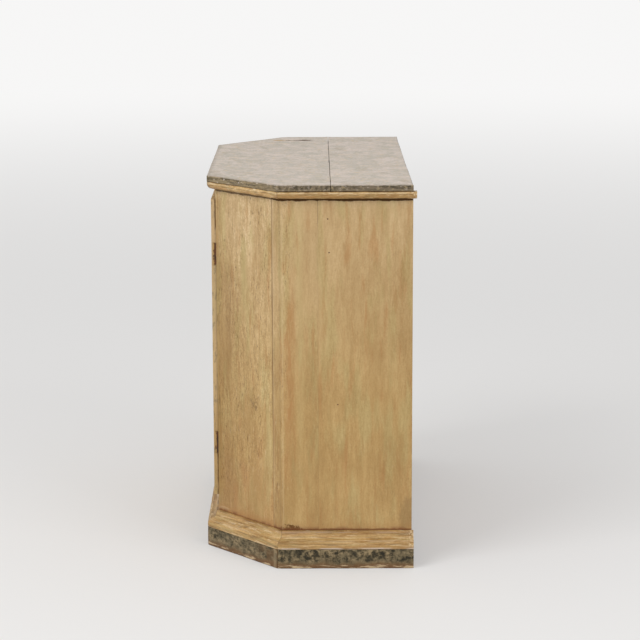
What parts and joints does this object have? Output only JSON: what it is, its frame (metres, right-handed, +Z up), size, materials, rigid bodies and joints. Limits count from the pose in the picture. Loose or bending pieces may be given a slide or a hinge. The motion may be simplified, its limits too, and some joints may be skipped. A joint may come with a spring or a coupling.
{
  "type": "canted front cabinet",
  "caption": "Painted cupboard with a flat back, canted corners, a thin overhanging top, a moulded base on a plinth and a pair of hinged panelled doors over a shelf.",
  "frame": {"origin": "on the floor, under the middle of the part's box", "axes": "+Z up, the doors face -Y, the flat back faces +Y, +X runs along the width to the right door"},
  "size_m": [1.051, 0.504, 0.92],
  "materials": {
    "top_paint": "worn matt paint, faint marbling",
    "case_paint": "brushed and waxed ochre paint",
    "trim_paint": "worn ochre paint with cream edges",
    "plinth_paint": "dark green marbled paint",
    "bare_wood": "bare old softwood",
    "iron": "rusty",
    "brass": "dull"
  },
  "bodies": {
    "case": {"top_front_board": "top_paint", "top_back_board": "top_paint", "top_battens": "bare_wood", "cornice_front": "trim_paint", "cornice_cant_right": "trim_paint", "cornice_cant_left": "trim_paint", "cornice_side_right": "trim_paint", "cornice_side_left": "trim_paint", "side_front_board_right": "case_paint", "side_front_board_left": "case_paint", "side_back_board_right": "case_paint", "side_back_board_left": "case_paint", "cant_board_right": "case_paint", "cant_board_left": "case_paint", "top_rail": "case_paint", "bottom_rail": "case_paint", "back_rail": "bare_wood", "back_planks": "bare_wood", "bottom_board": "bare_wood", "bottom_bearers": "bare_wood", "shelf": "bare_wood", "shelf_cleats": "bare_wood", "glue_blocks": "bare_wood", "door_stops": "bare_wood", "plinth_front": "plinth_paint", "plinth_cant_right": "plinth_paint", "plinth_cant_left": "plinth_paint", "plinth_side_right": "plinth_paint", "plinth_side_left": "plinth_paint", "base_moulding_front": "trim_paint", "base_moulding_cant_right": "trim_paint", "base_moulding_cant_left": "trim_paint", "base_moulding_side_right": "trim_paint", "base_moulding_side_left": "trim_paint", "hinge_case_leaves_right": "iron", "hinge_case_leaves_left": "iron", "hinge_pins_right": "iron", "hinge_pins_left": "iron"},
    "door_right": {"door_right_hinge_stile": "case_paint", "door_right_meeting_stile": "case_paint", "door_right_top_rail": "case_paint", "door_right_bottom_rail": "case_paint", "door_right_panel": "case_paint", "door_right_moulding": "trim_paint", "knob_right": "brass", "hinge_door_leaves_right": "iron", "lock_case": "iron"},
    "door_left": {"door_left_hinge_stile": "case_paint", "door_left_meeting_stile": "case_paint", "door_left_top_rail": "case_paint", "door_left_bottom_rail": "case_paint", "door_left_panel": "case_paint", "door_left_moulding": "trim_paint", "knob_left": "brass", "hinge_door_leaves_left": "iron", "lock_strike": "iron", "shoot_bolt_plates": "iron"},
    "lock_bolt": {"lock_bolt": "iron"},
    "bolt_top": {"shoot_bolt_top": "iron"},
    "bolt_bottom": {"shoot_bolt_bottom": "iron"}
  },
  "joints": [
    {"name": "door_right_swing", "type": "hinge", "parent": "case", "child": "door_right", "pos_m": [0.31525, -0.2288, 0.5], "axis": [0, 0, 1], "range_deg": [0, 160]},
    {"name": "door_left_swing", "type": "hinge", "parent": "case", "child": "door_left", "pos_m": [-0.31525, -0.2288, 0.5], "axis": [0, 0, -1], "range_deg": [0, 160]},
    {"name": "lock_bolt_slide", "type": "slide", "parent": "door_right", "child": "lock_bolt", "axis": [-1, 0, 0], "range_m": [0, 0.009]},
    {"name": "bolt_top_slide", "type": "slide", "parent": "door_left", "child": "bolt_top", "axis": [0, 0, 1], "range_m": [0, 0.0135]},
    {"name": "bolt_bottom_slide", "type": "slide", "parent": "door_left", "child": "bolt_bottom", "axis": [0, 0, -1], "range_m": [0, 0.0135]}
  ]
}
